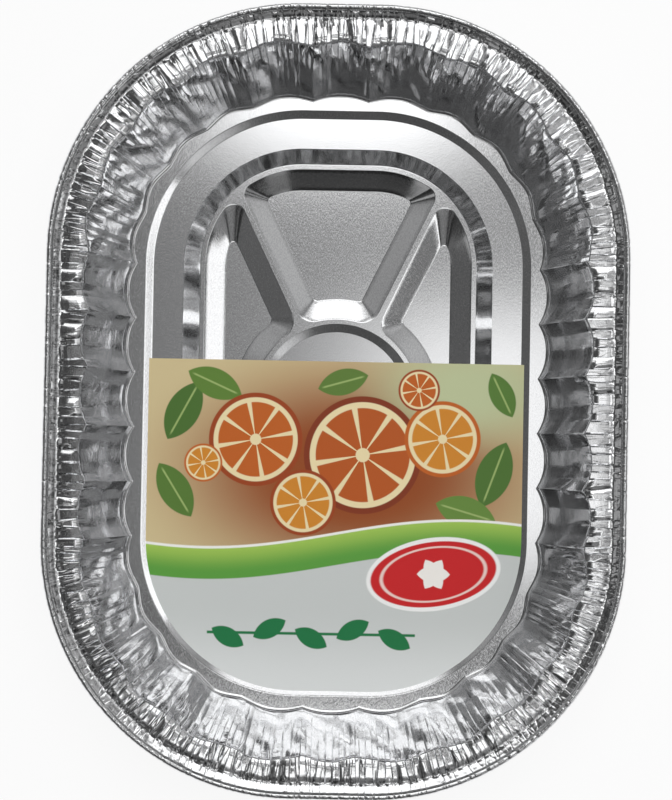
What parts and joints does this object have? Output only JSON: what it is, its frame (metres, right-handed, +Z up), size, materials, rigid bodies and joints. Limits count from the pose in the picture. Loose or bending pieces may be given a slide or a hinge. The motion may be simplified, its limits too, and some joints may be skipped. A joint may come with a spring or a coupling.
{
  "type": "foil roasting pan",
  "caption": "Oval disposable roasting pan pressed from foil, with fluted sloping walls, a crimped rolled rim and a ribbed floor, and a printed paper card lying on the floor.",
  "frame": {"origin": "middle of the underside that the pan stands on", "axes": "+X across the pan, +Y along it away from the card's end, +Z up out of its mouth"},
  "size_m": [0.3222, 0.4382, 0.0699],
  "materials": {
    "foil": "bright",
    "card": "satin"
  },
  "bodies": {
    "root": {"foil_pan": "foil", "paper_label": "card"}
  },
  "joints": []
}
